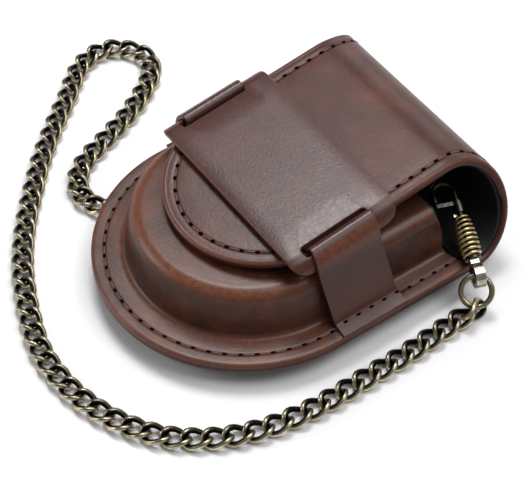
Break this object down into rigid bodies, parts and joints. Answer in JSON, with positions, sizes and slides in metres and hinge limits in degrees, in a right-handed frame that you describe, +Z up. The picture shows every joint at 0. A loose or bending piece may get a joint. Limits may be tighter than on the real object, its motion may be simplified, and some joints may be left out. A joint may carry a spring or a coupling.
{
  "type": "pocket watch belt pouch",
  "caption": "Moulded leather pouch for a pocket watch, with a flap tucked under a band, a belt loop and a watch chain with a sprung hook.",
  "frame": {"origin": "on the table under the middle of the pouch, at the underside of the belt loop", "axes": "X across the pouch, +Y from the round end towards the fold of the flap, +Z up, away from the belt"},
  "size_m": [0.1255, 0.1052, 0.0288],
  "materials": {
    "case_leather": "satin, moulded and waxed",
    "flap_leather": "satin, waxed",
    "flap_inside": "matt flesh side",
    "band_leather": "satin, waxed",
    "lining": "matt",
    "chain_brass": "aged, dark in the hollows",
    "hook_brass": "aged, rubbed bright",
    "swivel_steel": "dark plated"
  },
  "bodies": {
    "case": {"back_panel": "case_leather", "back_lining": "lining", "front_pocket": "case_leather", "pocket_lining": "lining", "band": "band_leather", "left_tab": "band_leather", "right_tab": "band_leather", "belt_loop": "case_leather", "fold_lower": "flap_leather", "fold_lower_lining": "lining", "chain_1": "chain_brass", "chain_2": "chain_brass", "chain_3": "chain_brass", "chain_4": "chain_brass", "chain_5": "chain_brass", "chain_6": "chain_brass", "chain_7": "chain_brass", "chain_8": "chain_brass", "end_ring": "chain_brass", "jump_ring": "chain_brass", "hook_swivel": "swivel_steel"},
    "fold": {"fold_back": "flap_leather", "fold_back_lining": "lining"},
    "flap": {"fold_upper": "flap_leather", "fold_upper_lining": "lining", "flap_upper": "flap_leather", "flap_upper_lining": "lining", "flap_tongue": "flap_leather", "flap_tongue_lining": "flap_inside"},
    "hook": {"hook": "hook_brass", "hook_spring": "hook_brass"},
    "keeper": {"hook_keeper": "hook_brass"}
  },
  "joints": [
    {"name": "fold_bend", "type": "hinge", "parent": "case", "child": "fold", "pos_m": [0, 0.0358, 0.0055], "axis": [-1, 0, 0], "range_deg": [0, 50], "deforming": ["fold_lower", "fold_lower_lining"]},
    {"name": "flap_bend", "type": "hinge", "parent": "fold", "child": "flap", "pos_m": [0, 0.0358, 0.027], "axis": [-1, 0, 0], "range_deg": [0, 70], "deforming": ["fold_upper", "fold_upper_lining", "flap_tongue", "flap_tongue_lining"]},
    {"name": "hook_turn", "type": "hinge", "parent": "case", "child": "hook", "pos_m": [0.03411, 0.02904, 0.01012], "axis": [-0.8737, 0.3459, 0.342], "continuous": true},
    {"name": "keeper_slide", "type": "slide", "parent": "hook", "child": "keeper", "axis": [0.8737, -0.3459, -0.342], "range_m": [0, 0.003], "stiffness_N_per_m": 150, "springref_m": -0.002, "deforming": ["hook_spring"]}
  ],
  "couplings": [
    {"joint": "flap_bend", "follows": "fold_bend", "ratio": 1.4}
  ]
}
